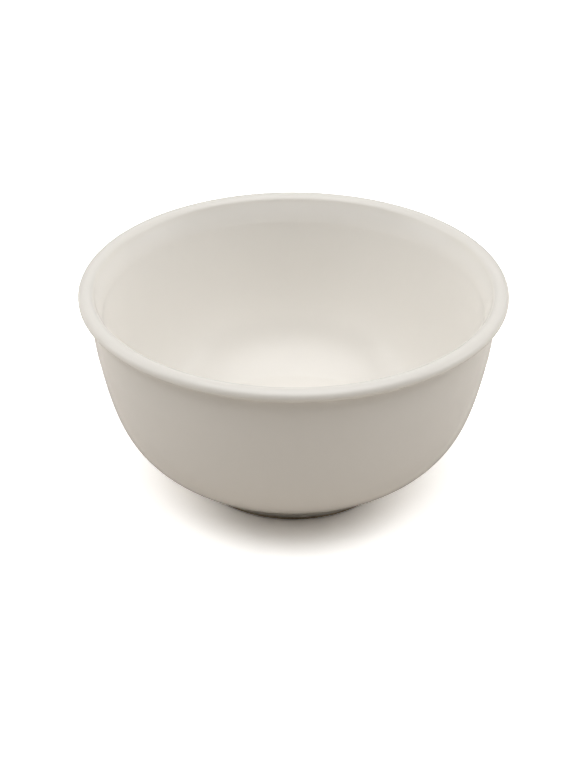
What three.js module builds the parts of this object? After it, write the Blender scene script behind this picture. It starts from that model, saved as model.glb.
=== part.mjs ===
// A round shaving bowl: one fired ceramic body, a glaze coat over it and a glazed patch underneath.
// Millimetres, +Z up, origin at the centre of the ring that the foot stands on.
// Every piece is turned about Z, so each outline below is a list of (radius, height) points.
import * as THREE from 'three';

// Driving dimensions
const rimRadius = 60;
const bowlHeight = 60.4;
const footRadius = 28;
const footHeight = 3.9;
const seatWidth = 1.8;
const recessDepth = 5.2;
const floorHeight = 10.2;
const wellRadius = 33.6;
const glazeThickness = 0.3;
const glazeClearance = 0.1;
const glazeLineHeight = 1.2;

// Fineness of the turned outlines
const sidesAround = 60;
const wallSteps = 8;
const flareSteps = 4;
const lipSteps = 3;
const neckSteps = 5;
const shoulderSteps = 3;
const sideSteps = 8;

// The lip's section: an outer and an inner quarter ellipse that meet on its crest
const crestDepth = 2.4;
const outerLip = { run: crestDepth, drop: 1.9 };
const innerLip = { run: 2.1, drop: 1.8 };
const lipTurn = 160;
const lipBand = 0.2;

// Points that the glazed outline runs through
const neck = belowRim(3.6, 4.3);
const shoulder = belowRim(3.5, 8.3);
const innerCrease = belowRim(6.7, 8.4);
const waist = at(55.2, 42);
const wellEdge = at(wellRadius + 1.6, floorHeight + 0.5);
const glazedFootRadius = footRadius + 0.2;
const footTop = at(glazedFootRadius + 0.4, footHeight);
const footSideHeight = footHeight - 1;

// Points that its long curves lean towards
const wallLowPull = at(47.8, 18.8);
const wallHighPull = at(49.9, 30);
const sideHighPull = at(50.8, 20.2);
const sideLowPull = at(47.9, 12.3);

// The foot's bare seat and the glazed recess inside it
const seatOuter = footRadius - 0.8;
const seatInner = seatOuter - seatWidth;
const seatBevel = 0.6;
const recessRadius = seatInner - 0.6;
const recessCorner = 1.2;
const recessTaper = 0.6;

const glazeMaterial = new THREE.MeshStandardMaterial({ color: 0xe9e5dc, roughness: 0.12, metalness: 0 });
const bodyMaterial = new THREE.MeshStandardMaterial({ color: 0xd9cfbd, roughness: 0.8, metalness: 0 });

/** A point of an outline. */
function at(radius, height) {
  return new THREE.Vector2(radius, height);
}

/** The points of a curve without its first one, which the stretch before it already has. */
function rest(curve, steps) {
  return curve.getPoints(steps).slice(1);
}

/** A point at a depth in from the rim's widest line and a drop from its top. */
function belowRim(depth, drop) {
  return at(rimRadius - depth, bowlHeight - drop);
}

/** A copy of a point, moved out and up. */
function moved(point, out, up) {
  return at(point.x + out, point.y + up);
}

/** A point of one of the lip's ellipses, at an angle in degrees from 0 outwards to 90 at the crest. */
function onLip(ellipse, degrees) {
  const angle = THREE.MathUtils.degToRad(degrees);
  const centre = belowRim(crestDepth, ellipse.drop);
  return moved(centre, ellipse.run * Math.cos(angle), ellipse.drop * Math.sin(angle));
}

/** Evenly spaced points of one of the lip's ellipses, after the first angle and up to the last. */
function lipArc(ellipse, first, last) {
  const step = (last - first) / lipSteps;
  return Array.from({ length: lipSteps }, (_, index) => onLip(ellipse, first + step * (index + 1)));
}

/** Moves an outline into the clay by a distance, square to the outline at each point. */
function inset(outline, distance) {
  return outline.map((point, index) => {
    const before = outline[Math.max(index - 1, 0)];
    const after = outline[Math.min(index + 1, outline.length - 1)];
    const along = after.clone().sub(before).normalize();
    return at(point.x + along.y * distance, point.y - along.x * distance);
  });
}

/** The inside's wall and flare, from the well's edge up to the lip. */
function insideCurves() {
  const lipStart = onLip(innerLip, lipTurn);
  const wall = new THREE.CubicBezierCurve(wellEdge, wallLowPull, wallHighPull, innerCrease);
  const flare = new THREE.CubicBezierCurve(
    innerCrease,
    moved(innerCrease, 0.15, 2.4),
    moved(lipStart, -0.6, -1.7),
    lipStart,
  );
  return [...rest(wall, wallSteps), ...rest(flare, flareSteps)];
}

/** The lip, the neck under it and the shoulder below the neck. */
function rimCurves() {
  const lipFoot = belowRim(0, outerLip.drop + lipBand);
  const underLip = new THREE.CubicBezierCurve(lipFoot, moved(lipFoot, 0, -1.7), moved(neck, 0, 1.8), neck);
  const swell = new THREE.CubicBezierCurve(
    neck,
    moved(neck, 0, -1.1),
    moved(shoulder, 0.1, 1.6),
    shoulder,
  );
  return [
    ...lipArc(innerLip, lipTurn, 90),
    ...lipArc(outerLip, 90, 0),
    lipFoot,
    ...rest(underLip, neckSteps),
    ...rest(swell, shoulderSteps),
  ];
}

/** The outside, from the shoulder down to where the glaze ends on the foot. */
function outsideCurves() {
  const waistPull = waist.clone().sub(sideHighPull).setLength(3.2).add(waist);
  const upperSide = new THREE.CubicBezierCurve(shoulder, moved(shoulder, -0.1, -2.2), waistPull, waist);
  const side = new THREE.CubicBezierCurve(waist, sideHighPull, sideLowPull, footTop);
  return [
    ...rest(upperSide, shoulderSteps),
    ...rest(side, sideSteps),
    at(glazedFootRadius, footSideHeight),
    at(glazedFootRadius, glazeLineHeight),
  ];
}

/** The glazed surface from the middle of the well, up the wall, over the lip and down to the foot. */
function glazedOutline() {
  const well = [at(0, floorHeight), at(wellRadius, floorHeight), wellEdge];
  return [...well, ...insideCurves(), ...rimCurves(), ...outsideCurves()];
}

/** The glazed surface under the bowl, from the foot's inner side to the middle of the recess. */
function undersideOutline() {
  return [
    at(recessRadius + recessTaper, glazeLineHeight),
    at(recessRadius, recessDepth - recessCorner),
    at(recessRadius - recessCorner, recessDepth),
    at(0, recessDepth),
  ];
}

/**
 * Turns an outline about Z. The lathe works about Y, so its mesh is stood up, and it takes the
 * outline backwards to have its faces point out.
 */
function turned(name, outline, material) {
  const geometry = new THREE.LatheGeometry([...outline].reverse(), sidesAround);
  geometry.rotateX(Math.PI / 2);
  const mesh = new THREE.Mesh(geometry, material);
  mesh.name = name;
  return mesh;
}

/** The fired body: bare clay at the foot's seat, covered by glaze everywhere else. */
function makeBody() {
  const cover = glazeThickness + glazeClearance;
  const upper = inset(glazedOutline(), cover);
  const lower = inset(undersideOutline(), cover);
  const seat = [
    at(seatOuter + seatBevel, seatBevel),
    at(seatOuter, 0),
    at(seatInner, 0),
    at(seatInner - seatBevel, seatBevel),
  ];
  return turned('bowl_body', [...upper, ...seat, ...lower], bodyMaterial);
}

/** The main glaze coat, inside and outside in one skin that ends just above the seat. */
function makeGlazeCoat() {
  const surface = glazedOutline();
  const back = inset(surface, glazeThickness).reverse();
  return turned('glaze_coat', [...surface, ...back], glazeMaterial);
}

/** The glaze inside the foot ring, cut off from the main coat by the bare seat. */
function makeUndersideGlaze() {
  const surface = undersideOutline();
  const back = inset(surface, glazeThickness).reverse();
  return turned('underside_glaze', [...back, ...surface], glazeMaterial);
}

const bowl = new THREE.Group();
bowl.add(makeBody(), makeGlazeCoat(), makeUndersideGlaze());

export default bowl;
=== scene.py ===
"""A round shaving bowl of glazed ceramic, standing on a pale studio floor.

The clay body, the main glaze coat and the glaze under the foot are three pieces, all turned
about the bowl's upright axis from outlines of (radius, height) points.
"""

import logging
import math
from dataclasses import dataclass, field
from enum import Enum

import bmesh
import bpy
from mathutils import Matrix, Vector
from mathutils.geometry import interpolate_bezier


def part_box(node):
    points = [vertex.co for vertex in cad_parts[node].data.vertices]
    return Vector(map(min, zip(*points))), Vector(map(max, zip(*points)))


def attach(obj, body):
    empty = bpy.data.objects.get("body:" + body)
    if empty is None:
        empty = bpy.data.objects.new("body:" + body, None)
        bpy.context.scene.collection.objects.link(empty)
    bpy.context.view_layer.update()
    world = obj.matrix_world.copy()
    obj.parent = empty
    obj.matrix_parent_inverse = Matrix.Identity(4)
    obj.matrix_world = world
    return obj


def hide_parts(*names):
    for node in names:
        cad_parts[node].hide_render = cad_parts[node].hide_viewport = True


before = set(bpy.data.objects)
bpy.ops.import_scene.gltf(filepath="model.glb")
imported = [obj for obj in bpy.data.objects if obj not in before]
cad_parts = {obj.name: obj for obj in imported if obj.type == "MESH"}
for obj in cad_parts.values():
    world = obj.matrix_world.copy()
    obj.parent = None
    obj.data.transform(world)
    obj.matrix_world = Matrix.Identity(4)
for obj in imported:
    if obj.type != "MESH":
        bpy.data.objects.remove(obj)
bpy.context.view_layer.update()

log = logging.getLogger("shaving_bowl")

MM = 0.001
Colour = tuple[float, float, float]
Outline = list[Vector]

# How many points a curve gets, by its length
LONG_STEPS = 36
MIDDLE_STEPS = 14
SHOULDER_STEPS = 12
SHORT_STEPS = 6
CORNER_STEPS = 5

CREST_ANGLE = 90
PICK_SOFTNESS = 0.01
LIGHT_MIDDLE = (0.5, 0.5, 0.0)


# ---------------------------------------------------------------- shader helpers


class Signal:
    """A shader socket's output that can be used in Python arithmetic."""

    def __init__(self, graph: "Graph", socket: bpy.types.NodeSocket):
        """Wraps a socket of a graph.

        Args:
            graph: The graph that the socket belongs to.
            socket: The output socket.
        """
        self.graph = graph
        self.socket = socket

    def _math(self, operation: str, first: object, second: object) -> "Signal":
        """Adds one Math node.

        Args:
            operation: The Math node's operation.
            first: Its first value, a Signal or a number.
            second: Its second value, a Signal or a number.

        Returns:
            The node's result.
        """
        return self.graph.node("ShaderNodeMath", {"operation": operation}, {0: first, 1: second})

    def __add__(self, other: object) -> "Signal":
        """Sum of two values."""
        return self._math("ADD", self, other)

    __radd__ = __add__

    def __sub__(self, other: object) -> "Signal":
        """This value less the other."""
        return self._math("SUBTRACT", self, other)

    def __rsub__(self, other: object) -> "Signal":
        """The other value less this one."""
        return self._math("SUBTRACT", other, self)

    def __mul__(self, other: object) -> "Signal":
        """Product of two values."""
        return self._math("MULTIPLY", self, other)

    __rmul__ = __mul__

    def __truediv__(self, other: object) -> "Signal":
        """This value over the other."""
        return self._math("DIVIDE", self, other)

    def smooth_step(self, low: float, high: float) -> "Signal":
        """A soft 0 to 1 step of this value.

        Args:
            low: The value at which the step starts.
            high: The value at which it ends.

        Returns:
            The step, from 0 to 1.
        """
        settings = {"interpolation_type": "SMOOTHSTEP"}
        sockets = {"Value": self, "From Min": low, "From Max": high}
        return self.graph.node("ShaderNodeMapRange", settings, sockets)


class Graph:
    """The node graph of one material, light or world."""

    def __init__(self, owner: bpy.types.Material | bpy.types.Light | bpy.types.World):
        """Starts an empty graph.

        Args:
            owner: The material, light or world that the graph is for.
        """
        owner.use_nodes = True
        self.tree = owner.node_tree
        self.tree.nodes.clear()
        self.output_kind = "ShaderNodeOutputMaterial"
        if isinstance(owner, bpy.types.Light):
            self.output_kind = "ShaderNodeOutputLight"
        if isinstance(owner, bpy.types.World):
            self.output_kind = "ShaderNodeOutputWorld"

    def node(self, kind: str, settings: dict | None = None, sockets: dict | None = None,
             output: int | str = 0) -> Signal:
        """Adds any node.

        Args:
            kind: The node's type name.
            settings: Its properties, set before its sockets.
            sockets: Values or Signals for its inputs, by name or number.
            output: The name or number of the output wanted.

        Returns:
            That output.
        """
        made = self.tree.nodes.new(kind)
        for key, value in (settings or {}).items():
            setattr(made, key, value)
        for key, value in (sockets or {}).items():
            if isinstance(value, Signal):
                self.tree.links.new(value.socket, made.inputs[key])
            else:
                made.inputs[key].default_value = value
        return Signal(self, made.outputs[output])

    def place(self) -> Signal:
        """The point's place on the object, in metres."""
        return self.node("ShaderNodeTexCoord", output="Object")

    def noise(self, place: Signal, wavelength: float, detail: float = 2.0,
              roughness: float = 0.5) -> Signal:
        """A smooth random pattern from 0 to 1.

        Args:
            place: The coordinates that it reads.
            wavelength: The size of its blotches, in metres.
            detail: How many finer layers it has.
            roughness: How strong those are.

        Returns:
            The pattern.
        """
        sockets = {"Vector": place, "Scale": 1.0 / wavelength, "Detail": detail, "Roughness": roughness}
        return self.node("ShaderNodeTexNoise", {"noise_dimensions": "3D"}, sockets)

    def specks(self, place: Signal, spacing: float, radius: float, share: float) -> Signal:
        """Small round dots, scattered at random.

        Args:
            place: The coordinates that it reads.
            spacing: The usual distance between places for a dot, in metres.
            radius: A dot's radius, in metres.
            share: The share of the places that have a dot.

        Returns:
            1 in a dot and 0 outside, with a soft edge.
        """
        sockets = {"Vector": place, "Scale": 1.0 / spacing}
        cell = self.node("ShaderNodeTexVoronoi", {"feature": "F1"}, sockets)
        shade = Signal(self, cell.socket.node.outputs["Color"])
        pick = self.node("ShaderNodeSeparateColor", {}, {0: shade})
        reach = radius / spacing
        dot = 1.0 - cell.smooth_step(0.5 * reach, reach)
        limit = 1.0 - share
        return dot * pick.smooth_step(limit - PICK_SOFTNESS, limit)

    def blend(self, factor: Signal, first: object, second: object) -> Signal:
        """A mix of two colours.

        Args:
            factor: 0 for the first and 1 for the second.
            first: A colour or a Signal.
            second: A colour or a Signal.

        Returns:
            The mixed colour.
        """
        settings = {"data_type": "RGBA", "blend_type": "MIX"}
        first = first if isinstance(first, Signal) else (*first, 1.0)
        second = second if isinstance(second, Signal) else (*second, 1.0)
        sockets = {"Factor": factor, 6: first, 7: second}
        return self.node("ShaderNodeMix", settings, sockets, output=2)

    def bump(self, height: Signal, distance: float, under: Signal | None = None) -> Signal:
        """Surface relief.

        Args:
            height: The relief, from 0 to 1.
            distance: Its full height, in metres.
            under: Relief that this one is added to.

        Returns:
            The changed normal.
        """
        sockets = {"Height": height, "Distance": distance, "Strength": 1.0}
        if under is not None:
            sockets["Normal"] = under
        return self.node("ShaderNodeBump", {}, sockets)

    def close(self, shader: Signal) -> None:
        """Joins a shader to the graph's output.

        Args:
            shader: The finished shader.
        """
        output = self.tree.nodes.new(self.output_kind)
        self.tree.links.new(shader.socket, output.inputs["Surface"])

    def close_principled(self, varying: dict, steady: dict) -> None:
        """Closes the graph with a Principled shader.

        Args:
            varying: Signals for the sockets that change over the surface.
            steady: Plain values for the others.
        """
        self.close(self.node("ShaderNodeBsdfPrincipled", {}, {**steady, **varying}))


# ---------------------------------------------------------------- finishes


@dataclass(frozen=True)
class GlazeFinish:
    """A warm white glossy glaze that pools in hollows and thins over edges."""

    colour: Colour = (0.880, 0.851, 0.802)
    pooled_colour: Colour = (0.890, 0.862, 0.810)
    thin_colour: Colour = (0.872, 0.840, 0.782)
    speck_colour: Colour = (0.42, 0.34, 0.25)
    roughness: float = 0.13
    roughness_swing: float = 0.03
    index: float = 1.52
    cloud_size: float = 38 * MM
    cloud_weight: float = 0.8
    mottle_size: float = 3.2 * MM
    mottle_weight: float = 0.25
    peel_size: float = 2.4 * MM
    peel_height: float = 0.004 * MM
    sag_size: float = 14 * MM
    sag_height: float = 0.02 * MM
    speck_spacing: float = 11 * MM
    speck_radius: float = 0.16 * MM
    speck_share: float = 0.3
    speck_strength: float = 0.45

    def material(self, name: str) -> bpy.types.Material:
        """Builds the glaze.

        Args:
            name: The material's name.

        Returns:
            The material.
        """
        material = bpy.data.materials.new(name)
        graph = Graph(material)
        place = graph.place()
        pooling = graph.node("ShaderNodeAttribute", {"attribute_name": "pooling"}, output="Fac")
        clouds = graph.noise(place, self.cloud_size, detail=3.0)
        mottle = graph.noise(place, self.mottle_size, detail=2.0)
        depth = pooling + (clouds - 0.5) * self.cloud_weight + (mottle - 0.5) * self.mottle_weight
        thick = depth.smooth_step(0.0, 1.0)
        thin = (0.0 - depth).smooth_step(0.0, 1.0)
        tint = graph.blend(thick, self.colour, self.pooled_colour)
        tint = graph.blend(thin, tint, self.thin_colour)
        specks = graph.specks(place, self.speck_spacing, self.speck_radius, self.speck_share)
        tint = graph.blend(specks * self.speck_strength, tint, self.speck_colour)
        gloss = self.roughness + (mottle - 0.5) * self.roughness_swing
        relief = graph.bump(graph.noise(place, self.sag_size, detail=0.0), self.sag_height)
        relief = graph.bump(graph.noise(place, self.peel_size, detail=1.0), self.peel_height, relief)
        varying = {"Base Color": tint, "Roughness": gloss, "Normal": relief}
        graph.close_principled(varying, {"IOR": self.index, "Metallic": 0.0})
        return material


@dataclass(frozen=True)
class ClayFinish:
    """Bare fired clay, sanded where it stands."""

    colour: Colour = (0.60, 0.525, 0.42)
    dark_colour: Colour = (0.46, 0.39, 0.30)
    worn_colour: Colour = (0.50, 0.48, 0.45)
    roughness: float = 0.82
    worn_polish: float = 0.25
    worn_strength: float = 0.7
    index: float = 1.45
    grain_size: float = 0.35 * MM
    grain_height: float = 0.03 * MM
    grain_band: tuple[float, float] = (0.45, 0.75)
    patch_size: float = 6 * MM
    patch_band: tuple[float, float] = (0.35, 0.7)
    seat_band: tuple[float, float] = (0.075 * MM, 0.25 * MM)

    def material(self, name: str) -> bpy.types.Material:
        """Builds the clay.

        Args:
            name: The material's name.

        Returns:
            The material.
        """
        material = bpy.data.materials.new(name)
        graph = Graph(material)
        place = graph.place()
        height = graph.node("ShaderNodeSeparateXYZ", {}, {0: place}, output="Z")
        grain = graph.noise(place, self.grain_size, detail=4.0, roughness=0.6)
        patches = graph.noise(place, self.patch_size, detail=3.0)
        tint = graph.blend(grain.smooth_step(*self.grain_band), self.colour, self.dark_colour)
        seat = 1.0 - height.smooth_step(*self.seat_band)
        worn = seat * patches.smooth_step(*self.patch_band)
        tint = graph.blend(worn * self.worn_strength, tint, self.worn_colour)
        gloss = self.roughness - worn * self.worn_polish
        relief = graph.bump(grain, self.grain_height)
        varying = {"Base Color": tint, "Roughness": gloss, "Normal": relief}
        graph.close_principled(varying, {"IOR": self.index})
        return material


# ---------------------------------------------------------------- the bowl's shape


def at(radius: float, height: float) -> Vector:
    """A point of an outline, on the half plane of +X."""
    return Vector((radius, 0.0, height))


def mm_point(radius: float, height: float) -> Vector:
    """A dataclass field that holds a point or a step, given in millimetres."""
    return field(default_factory=lambda: at(radius * MM, height * MM))


def bend(start: Vector, pull_start: Vector, pull_end: Vector, end: Vector, steps: int) -> Outline:
    """The points of a cubic curve, without its start.

    Args:
        start: Where it starts, which the stretch before it already has.
        pull_start: The handle at its start.
        pull_end: The handle at its end.
        end: Where it ends.
        steps: The number of points.

    Returns:
        The points.
    """
    return interpolate_bezier(start, pull_start, pull_end, end, steps + 1)[1:]


def inset(outline: Outline, distance: float) -> Outline:
    """Moves an outline to its right by a distance, square to it at each point.

    Args:
        outline: The points.
        distance: How far they move, in metres.

    Returns:
        The moved points.
    """
    moved = []
    for index, point in enumerate(outline):
        before = outline[max(index - 1, 0)]
        after = outline[min(index + 1, len(outline) - 1)]
        along = (after - before).normalized()
        moved.append(point + distance * Vector((along.z, 0.0, -along.x)))
    return moved


def pooling_along(outline: Outline, reach: float) -> list[float]:
    """How far glaze pools at each point: above 0 in hollows and below 0 over edges.

    Args:
        outline: The points, with the material on their right.
        reach: How far the glaze flows from a bend, in metres.

    Returns:
        One value for each point, about -1 to 1.
    """
    bends = [0.0] * len(outline)
    for index in range(1, len(outline) - 1):
        before = (outline[index] - outline[index - 1]).normalized()
        after = (outline[index + 1] - outline[index]).normalized()
        bends[index] = before.z * after.x - before.x * after.z
    runs = [0.0]
    for first, second in zip(outline, outline[1:]):
        runs.append(runs[-1] + (second - first).length)
    pooled = []
    for here in runs:
        total = sum(turn * math.exp(-(((run - here) / reach) ** 2)) for turn, run in zip(bends, runs))
        pooled.append(max(-1.0, min(1.0, -total)))
    return pooled


@dataclass
class BowlShape:
    """The bowl's sizes, in metres, hung from the frame's rim and height.

    A name that ends in _pull is the handle of a curve, a point that the curve leans towards. One
    that ends in _lean is the step from a curve's end to its handle.
    """

    rim_radius: float
    height: float
    lip_crest: float = 2.4 * MM
    lip_outer_drop: float = 1.9 * MM
    lip_inner_run: float = 2.1 * MM
    lip_inner_drop: float = 1.8 * MM
    lip_band: float = 0.2 * MM
    lip_turn: int = 160
    lip_turn_step: int = 10
    lip_foot_lean: Vector = mm_point(0.0, -1.7)
    neck_depth: float = 3.6 * MM
    neck_drop: float = 4.3 * MM
    neck_top_lean: Vector = mm_point(0.0, 1.8)
    neck_foot_lean: Vector = mm_point(0.0, -1.1)
    shoulder_depth: float = 3.5 * MM
    shoulder_drop: float = 8.3 * MM
    shoulder_top_lean: Vector = mm_point(0.1, 1.6)
    shoulder_foot_lean: Vector = mm_point(-0.1, -2.2)
    waist: Vector = mm_point(55.2, 42.0)
    waist_lean: float = 3.2 * MM
    side_high_pull: Vector = mm_point(50.8, 20.2)
    side_low_pull: Vector = mm_point(47.9, 12.3)
    crease_depth: float = 6.7 * MM
    crease_drop: float = 8.4 * MM
    flare_foot_lean: Vector = mm_point(0.15, 2.4)
    flare_top_lean: Vector = mm_point(-0.6, -1.7)
    wall_low_pull: Vector = mm_point(47.8, 18.8)
    wall_high_pull: Vector = mm_point(49.9, 30.0)
    floor_height: float = 10.2 * MM
    well_radius: float = 33.6 * MM
    well_margin: Vector = mm_point(1.0, 0.0)
    well_curve: Vector = mm_point(1.6, 0.5)
    well_curve_lean: Vector = mm_point(-0.8, -0.5)
    foot_radius: float = 28.0 * MM
    foot_height: float = 3.9 * MM
    foot_glaze: float = 0.2 * MM
    foot_flare: float = 0.4 * MM
    foot_curve: float = 1.0 * MM
    foot_curve_leans: tuple[float, float] = (0.15 * MM, 0.3 * MM)
    glaze_line: float = 1.2 * MM
    glaze_bead: float = 0.6 * MM
    seat_width: float = 1.8 * MM
    seat_round: float = 0.8 * MM
    seat_side: Vector = mm_point(-0.2, 0.7)
    seat_side_lean: Vector = mm_point(0.0, -0.5)
    seat_outer_lean: Vector = mm_point(0.4, 0.0)
    seat_inner_lean: Vector = mm_point(-0.3, 0.0)
    seat_inner_side: Vector = mm_point(-0.6, 0.6)
    seat_inner_side_lean: Vector = mm_point(0.1, -0.4)
    recess_depth: float = 5.2 * MM
    recess_inset: float = 1.4 * MM
    recess_taper: tuple[float, float, float] = (0.9 * MM, 0.7 * MM, 0.3 * MM)
    recess_side_drop: float = 1.2 * MM
    recess_side_lean: Vector = mm_point(-0.1, 0.8)
    recess_corner: float = 1.0 * MM
    recess_corner_lean: Vector = mm_point(0.8, 0.0)

    def below_rim(self, depth: float, drop: float) -> Vector:
        """The point at a depth in from the rim's widest line and a drop from its top."""
        return at(self.rim_radius - depth, self.height - drop)

    def on_lip(self, degrees: float, run: float, drop: float) -> Vector:
        """A point of one of the two quarter ellipses that meet on the lip's crest.

        Args:
            degrees: The angle on the ellipse, 0 outwards and 90 at the crest.
            run: The ellipse's reach away from the crest.
            drop: The ellipse's reach down from the crest.

        Returns:
            The point.
        """
        angle = math.radians(degrees)
        centre = self.below_rim(self.lip_crest, drop)
        return centre + at(run * math.cos(angle), drop * math.sin(angle))

    def inner_lip(self, degrees: float) -> Vector:
        """A point of the lip's inner side."""
        return self.on_lip(degrees, self.lip_inner_run, self.lip_inner_drop)

    def outer_lip(self, degrees: float) -> Vector:
        """A point of the lip's outer side."""
        return self.on_lip(degrees, self.lip_crest, self.lip_outer_drop)

    def shoulder(self) -> Vector:
        """The point where the neck ends and the side begins."""
        return self.below_rim(self.shoulder_depth, self.shoulder_drop)

    def inside(self) -> Outline:
        """The well, the wall and the flare of the rim, up to the lip's inner side.

        Returns:
            The outline, with the clay on its right.
        """
        middle = at(0.0, self.floor_height)
        well_rim = at(self.well_radius, self.floor_height)
        well_edge = well_rim + self.well_curve
        crease = self.below_rim(self.crease_depth, self.crease_drop)
        flare_foot_pull = crease + self.flare_foot_lean
        lip_start = self.inner_lip(self.lip_turn)
        points = [middle, (middle + well_rim) / 2, well_rim - self.well_margin]
        points += bend(points[-1], well_rim, well_edge + self.well_curve_lean, well_edge, SHORT_STEPS)
        points += bend(well_edge, self.wall_low_pull, self.wall_high_pull, crease, LONG_STEPS)
        points += bend(crease, flare_foot_pull, lip_start + self.flare_top_lean, lip_start, MIDDLE_STEPS)
        return points

    def rim(self) -> Outline:
        """The lip and the neck under it, down to the shoulder.

        Returns:
            The outline, with the clay on its right.
        """
        step = self.lip_turn_step
        lip_foot = self.below_rim(0.0, self.lip_outer_drop + self.lip_band)
        lip_foot_pull = lip_foot + self.lip_foot_lean
        neck = self.below_rim(self.neck_depth, self.neck_drop)
        neck_foot_pull = neck + self.neck_foot_lean
        shoulder = self.shoulder()
        points = [self.inner_lip(angle) for angle in range(self.lip_turn - step, CREST_ANGLE - 1, -step)]
        points += [self.outer_lip(angle) for angle in range(CREST_ANGLE - step, -1, -step)]
        points.append(lip_foot)
        points += bend(lip_foot, lip_foot_pull, neck + self.neck_top_lean, neck, MIDDLE_STEPS)
        points += bend(neck, neck_foot_pull, shoulder + self.shoulder_top_lean, shoulder, SHORT_STEPS)
        return points

    def outside(self) -> Outline:
        """The shoulder, the side and the foot, down to the glaze line.

        Returns:
            The outline, with the clay on its right.
        """
        shoulder = self.shoulder()
        shoulder_pull = shoulder + self.shoulder_foot_lean
        waist_pull = self.waist + self.waist_lean * (self.waist - self.side_high_pull).normalized()
        foot_side = self.foot_radius + self.foot_glaze
        foot_top = at(foot_side + self.foot_flare, self.foot_height)
        foot_pulls = [at(foot_side, self.foot_height - lean) for lean in self.foot_curve_leans]
        foot_low = at(foot_side, self.foot_height - self.foot_curve)
        points = bend(shoulder, shoulder_pull, waist_pull, self.waist, SHOULDER_STEPS)
        points += bend(self.waist, self.side_high_pull, self.side_low_pull, foot_top, LONG_STEPS)
        points += bend(foot_top, *foot_pulls, foot_low, CORNER_STEPS)
        points += [at(foot_side, self.glaze_line + self.glaze_bead), at(foot_side, self.glaze_line)]
        return points

    def glazed(self) -> Outline:
        """The glazed surface, from the middle of the well over the lip to the foot.

        Returns:
            The outline, with the clay on its right.
        """
        return self.inside() + self.rim() + self.outside()

    def underside(self) -> Outline:
        """The glazed surface inside the foot ring, from the glaze line to the middle.

        Returns:
            The outline, with the clay on its right.
        """
        recess = self.foot_radius - self.seat_width - self.recess_inset
        at_line, at_bead, at_side = self.recess_taper
        side = at(recess + at_side, self.recess_depth - self.recess_side_drop)
        side_pull = side + self.recess_side_lean
        ceiling = at(recess - self.recess_corner, self.recess_depth)
        points = [
            at(recess + at_line, self.glaze_line),
            at(recess + at_bead, self.glaze_line + self.glaze_bead),
            side,
        ]
        points += bend(side, side_pull, ceiling + self.recess_corner_lean, ceiling, SHORT_STEPS)
        points += [at(recess / 2, self.recess_depth), at(0.0, self.recess_depth)]
        return points

    def seat(self) -> Outline:
        """The bare ring that the bowl stands on, from its outside to its inside.

        Returns:
            The outline, with the clay on its right.
        """
        side = at(self.foot_radius, 0.0) + self.seat_side
        outer = at(self.foot_radius - self.seat_round, 0.0)
        inner = outer - at(self.seat_width, 0.0)
        inner_side = inner + self.seat_inner_side
        inner_pull = inner + self.seat_inner_lean
        side_pull = side + self.seat_side_lean
        points = [side]
        points += bend(side, side_pull, outer + self.seat_outer_lean, outer, CORNER_STEPS)
        points += [inner]
        points += bend(inner, inner_pull, inner_side + self.seat_inner_side_lean, inner_side, CORNER_STEPS)
        return points


# ---------------------------------------------------------------- the bowl's pieces


class AxisEnd(Enum):
    """The end of an outline that lies on the bowl's axis."""

    FIRST = "first"
    LAST = "last"


@dataclass(frozen=True)
class Ripple:
    """One of the waves that the glaze's lower edge is made of."""

    count: int
    size: float
    phase: float


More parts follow.
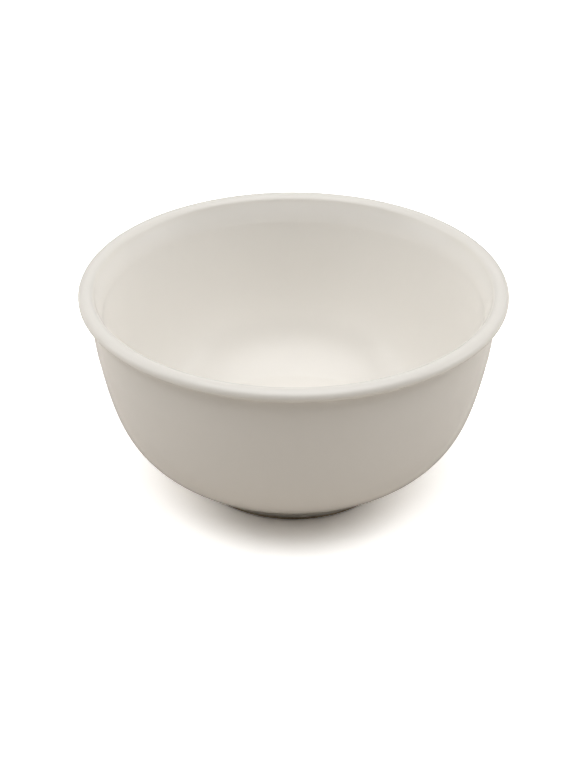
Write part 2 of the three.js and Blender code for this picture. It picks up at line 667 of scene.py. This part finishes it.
@dataclass
class Bowl:
    """The bowl: clay body, glaze coat and the glaze under the foot."""

    shape: BowlShape
    glaze: GlazeFinish = field(default_factory=GlazeFinish)
    clay: ClayFinish = field(default_factory=ClayFinish)
    sides: int = 192
    weld_distance: float = 0.001 * MM
    glaze_thickness: float = 0.3 * MM
    glaze_clearance: float = 0.1 * MM
    pooling_reach: float = 2.2 * MM
    line_wave: float = 0.18 * MM
    line_reach: float = 2.2
    line_ripples: tuple[Ripple, ...] = (
        Ripple(3, 1.0, 0.7),
        Ripple(7, 0.6, 2.1),
        Ripple(16, 0.4, 4.0),
        Ripple(31, 0.25, 0.0),
    )

    def turned(self, name: str, outline: Outline,
               pooling: list[float] | None = None) -> bpy.types.Object:
        """Turns a closed outline about the upright axis.

        Args:
            name: The piece's name.
            outline: The points, which start and end on the axis.
            pooling: The glaze pooling at each point, if the piece is glaze.

        Returns:
            The piece, with smooth faces that point outwards.
        """
        mesh = bmesh.new()
        layer = mesh.verts.layers.float.new("pooling")
        points = [mesh.verts.new(point) for point in outline]
        for vertex, value in zip(points, pooling or [0.0] * len(points)):
            vertex[layer] = value
        edges = [mesh.edges.new(pair) for pair in zip(points, points[1:])]
        bmesh.ops.spin(mesh, geom=points + edges, cent=(0, 0, 0), axis=(0, 0, 1), dvec=(0, 0, 0),
                       angle=2 * math.pi, steps=self.sides, use_merge=True, use_duplicate=False)
        bmesh.ops.remove_doubles(mesh, verts=mesh.verts, dist=self.weld_distance)
        bmesh.ops.recalc_face_normals(mesh, faces=mesh.faces)
        for face in mesh.faces:
            face.smooth = True
        data = bpy.data.meshes.new(name)
        mesh.to_mesh(data)
        mesh.free()
        piece = bpy.data.objects.new(name, data)
        bpy.context.scene.collection.objects.link(piece)
        return piece

    def finish(self, piece: bpy.types.Object, material: bpy.types.Material, node: str) -> None:
        """Dresses a piece and puts it in the place of its plain solid.

        Args:
            piece: The piece.
            material: Its material.
            node: The solid that it stands for.
        """
        piece.data.materials.append(material)
        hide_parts(node)
        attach(piece, "root")
        log.info("%s: %d faces", piece.name, len(piece.data.polygons))

    def wave_glaze_line(self, piece: bpy.types.Object) -> None:
        """Lets the glaze's lower edge wander up and down around the foot.

        Args:
            piece: A glaze piece.
        """
        line = self.shape.glaze_line
        top = self.line_reach * line
        for vertex in piece.data.vertices:
            if vertex.co.z < top:
                angle = math.atan2(vertex.co.y, vertex.co.x)
                wave = sum(r.size * math.sin(r.count * angle + r.phase) for r in self.line_ripples)
                share = min((top - vertex.co.z) / (top - line), 1.0)
                vertex.co.z += 0.5 * self.line_wave * wave * share

    def make_body(self) -> None:
        """Makes the fired clay, bare only on its seat."""
        cover = self.glaze_thickness + self.glaze_clearance
        upper = inset(self.shape.glazed(), cover)
        lower = inset(self.shape.underside(), cover)
        piece = self.turned("clay_body", upper + self.shape.seat() + lower)
        self.finish(piece, self.clay.material("bare_clay"), "bowl_body")

    def make_glaze(self, name: str, surface: Outline, node: str, axis_end: AxisEnd,
                   material: bpy.types.Material) -> None:
        """Makes a skin of glaze.

        Args:
            name: The piece's name.
            surface: Its outer outline, with the clay on the right.
            node: The solid that it stands for.
            axis_end: The end of that outline that lies on the axis.
            material: The glaze.
        """
        back = inset(surface, self.glaze_thickness)[::-1]
        pooling = pooling_along(surface, self.pooling_reach)
        if axis_end is AxisEnd.FIRST:
            outline, values = surface + back, pooling + pooling[::-1]
        else:
            outline, values = back + surface, pooling[::-1] + pooling
        piece = self.turned(name, outline, values)
        self.wave_glaze_line(piece)
        self.finish(piece, material, node)

    def build(self) -> None:
        """Makes every piece."""
        glaze = self.glaze.material("ivory_glaze")
        self.make_body()
        surface, under = self.shape.glazed(), self.shape.underside()
        self.make_glaze("glaze_over_bowl", surface, "glaze_coat", AxisEnd.FIRST, glaze)
        self.make_glaze("glaze_under_foot", under, "underside_glaze", AxisEnd.LAST, glaze)


# ---------------------------------------------------------------- studio


@dataclass(frozen=True)
class Softbox:
    """A rectangular soft light, brightest in its middle.

    It is at full strength out to its core and at none from its edge. Both are distances from the
    middle, as shares of its sides.
    """

    name: str
    place: tuple[float, float, float]
    size: tuple[float, float]
    power: float
    core: float = 0.1
    edge: float = 0.5
    mirrored: bool = True

    def build(self, aim: Vector) -> None:
        """Hangs the light and turns it to a point.

        Args:
            aim: The point that it faces.
        """
        data = bpy.data.lights.new(self.name, "AREA")
        data.shape = "RECTANGLE"
        data.size, data.size_y = self.size
        data.energy = self.power
        graph = Graph(data)
        across = graph.node("ShaderNodeNewGeometry", output="Parametric")
        sockets = {0: across, 1: LIGHT_MIDDLE}
        away = graph.node("ShaderNodeVectorMath", {"operation": "DISTANCE"}, sockets, output="Value")
        glow = 1.0 - away.smooth_step(self.core, self.edge)
        graph.close(graph.node("ShaderNodeEmission", {}, {"Strength": glow}))
        lamp = bpy.data.objects.new(self.name, data)
        lamp.location = self.place
        lamp.visible_glossy = self.mirrored
        lamp.rotation_euler = (aim - lamp.location).to_track_quat("-Z", "Y").to_euler()
        bpy.context.scene.collection.objects.link(lamp)


@dataclass
class Studio:
    """The pale floor, the lights round it and the camera."""

    aim_height: float = 29.4 * MM
    camera_distance: float = 0.7
    camera_pitch: float = 30.3
    camera_side: float = -2.37 * MM
    lens: float = 116.34
    sensor_width: float = 36.0
    floor_size: float = 8.0
    floor_gain: float = 1.72
    floor_bounce: Colour = (0.70, 0.655, 0.60)
    lights: tuple[Softbox, ...] = (
        Softbox("overhead", (0.0, -0.25, 1.15), (2.6, 2.2), 34.3),
        Softbox("left", (-1.1, 0.0, 0.5), (1.4, 1.1), 7.4),
        Softbox("right", (1.1, 0.0, 0.5), (1.4, 1.1), 7.4),
        Softbox("upper_left", (-0.75, 0.0, 0.95), (1.0, 1.0), 8.4, mirrored=False),
        Softbox("upper_right", (0.75, 0.0, 0.95), (1.0, 1.0), 7.4, mirrored=False),
        Softbox("back_left", (-0.9, 0.9, 0.4), (1.2, 1.0), 15.0, mirrored=False),
        Softbox("back_right", (0.9, 0.9, 0.4), (1.2, 1.0), 17.0, mirrored=False),
    )

    def build_floor(self) -> None:
        """Lays the floor, which the camera sees whiter than the bowl does."""
        mesh = bmesh.new()
        bmesh.ops.create_grid(mesh, x_segments=1, y_segments=1, size=self.floor_size / 2)
        data = bpy.data.meshes.new("floor")
        mesh.to_mesh(data)
        mesh.free()
        floor = bpy.data.objects.new("floor", data)
        bpy.context.scene.collection.objects.link(floor)
        material = bpy.data.materials.new("pale_floor")
        graph = Graph(material)
        seen = graph.node("ShaderNodeLightPath", output="Is Camera Ray")
        gain = self.floor_gain
        bright = graph.node("ShaderNodeBsdfDiffuse", {}, {"Color": (gain, gain, gain, 1.0)})
        plain = graph.node("ShaderNodeBsdfDiffuse", {}, {"Color": (*self.floor_bounce, 1.0)})
        graph.close(graph.node("ShaderNodeMixShader", {}, {0: seen, 1: plain, 2: bright}))
        data.materials.append(material)

    def build_sky(self) -> None:
        """Puts plain white beyond the floor for the camera, with no light from it."""
        world = bpy.data.worlds.new("studio")
        bpy.context.scene.world = world
        graph = Graph(world)
        seen = graph.node("ShaderNodeLightPath", output="Is Camera Ray")
        dark = graph.node("ShaderNodeBackground", {}, {"Color": (0.0, 0.0, 0.0, 1.0)})
        white = graph.node("ShaderNodeBackground", {}, {"Color": (1.0, 1.0, 1.0, 1.0)})
        graph.close(graph.node("ShaderNodeMixShader", {}, {0: seen, 1: dark, 2: white}))

    def build_camera(self) -> None:
        """Places the camera in front of the bowl, looking down at it."""
        pitch = math.radians(self.camera_pitch)
        aim = Vector((self.camera_side, 0.0, self.aim_height))
        data = bpy.data.cameras.new("camera")
        data.sensor_width = self.sensor_width
        data.lens = self.lens
        camera = bpy.data.objects.new("camera", data)
        camera.location = aim + self.camera_distance * Vector((0.0, -math.cos(pitch), math.sin(pitch)))
        camera.rotation_euler = (aim - camera.location).to_track_quat("-Z", "Y").to_euler()
        bpy.context.scene.collection.objects.link(camera)
        bpy.context.scene.camera = camera

    def build(self) -> None:
        """Makes the whole studio."""
        self.build_floor()
        self.build_sky()
        aim = Vector((0.0, 0.0, self.aim_height))
        for light in self.lights:
            light.build(aim)
        self.build_camera()
        bpy.context.scene.view_settings.view_transform = "Standard"


def main() -> None:
    """Builds the bowl and the studio round it."""
    logging.basicConfig(level=logging.INFO, format="%(message)s")
    low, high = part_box("glaze_coat")
    bowl = Bowl(BowlShape(rim_radius=high.x, height=high.z))
    Studio().build()
    bowl.build()


if __name__ == "__main__":
    main()
